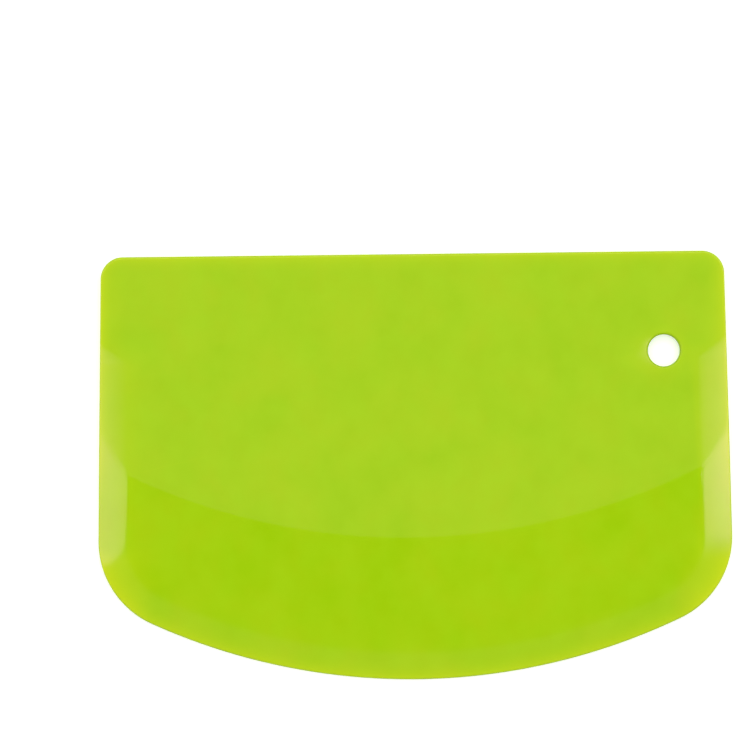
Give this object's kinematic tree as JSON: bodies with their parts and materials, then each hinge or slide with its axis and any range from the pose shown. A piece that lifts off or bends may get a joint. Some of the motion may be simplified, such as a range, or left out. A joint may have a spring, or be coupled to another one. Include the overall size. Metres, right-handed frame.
{
  "type": "dough scraper",
  "caption": "Flexible one-piece dough and bowl scraper: flat plate with a straight grip edge, a thinned curved blade, rounded corners and a hanging hole.",
  "frame": {"origin": "on the flat back, under the centre of the plate's outline box", "axes": "+X along the grip edge, +Y from the blade towards the grip edge, +Z out of the front face; the plate lies on its back"},
  "size_m": [0.12, 0.0806, 0.0025],
  "materials": {
    "green_plastic": "smooth glossy moulded plastic"
  },
  "bodies": {
    "root": {"scraper": "green_plastic"}
  },
  "joints": []
}
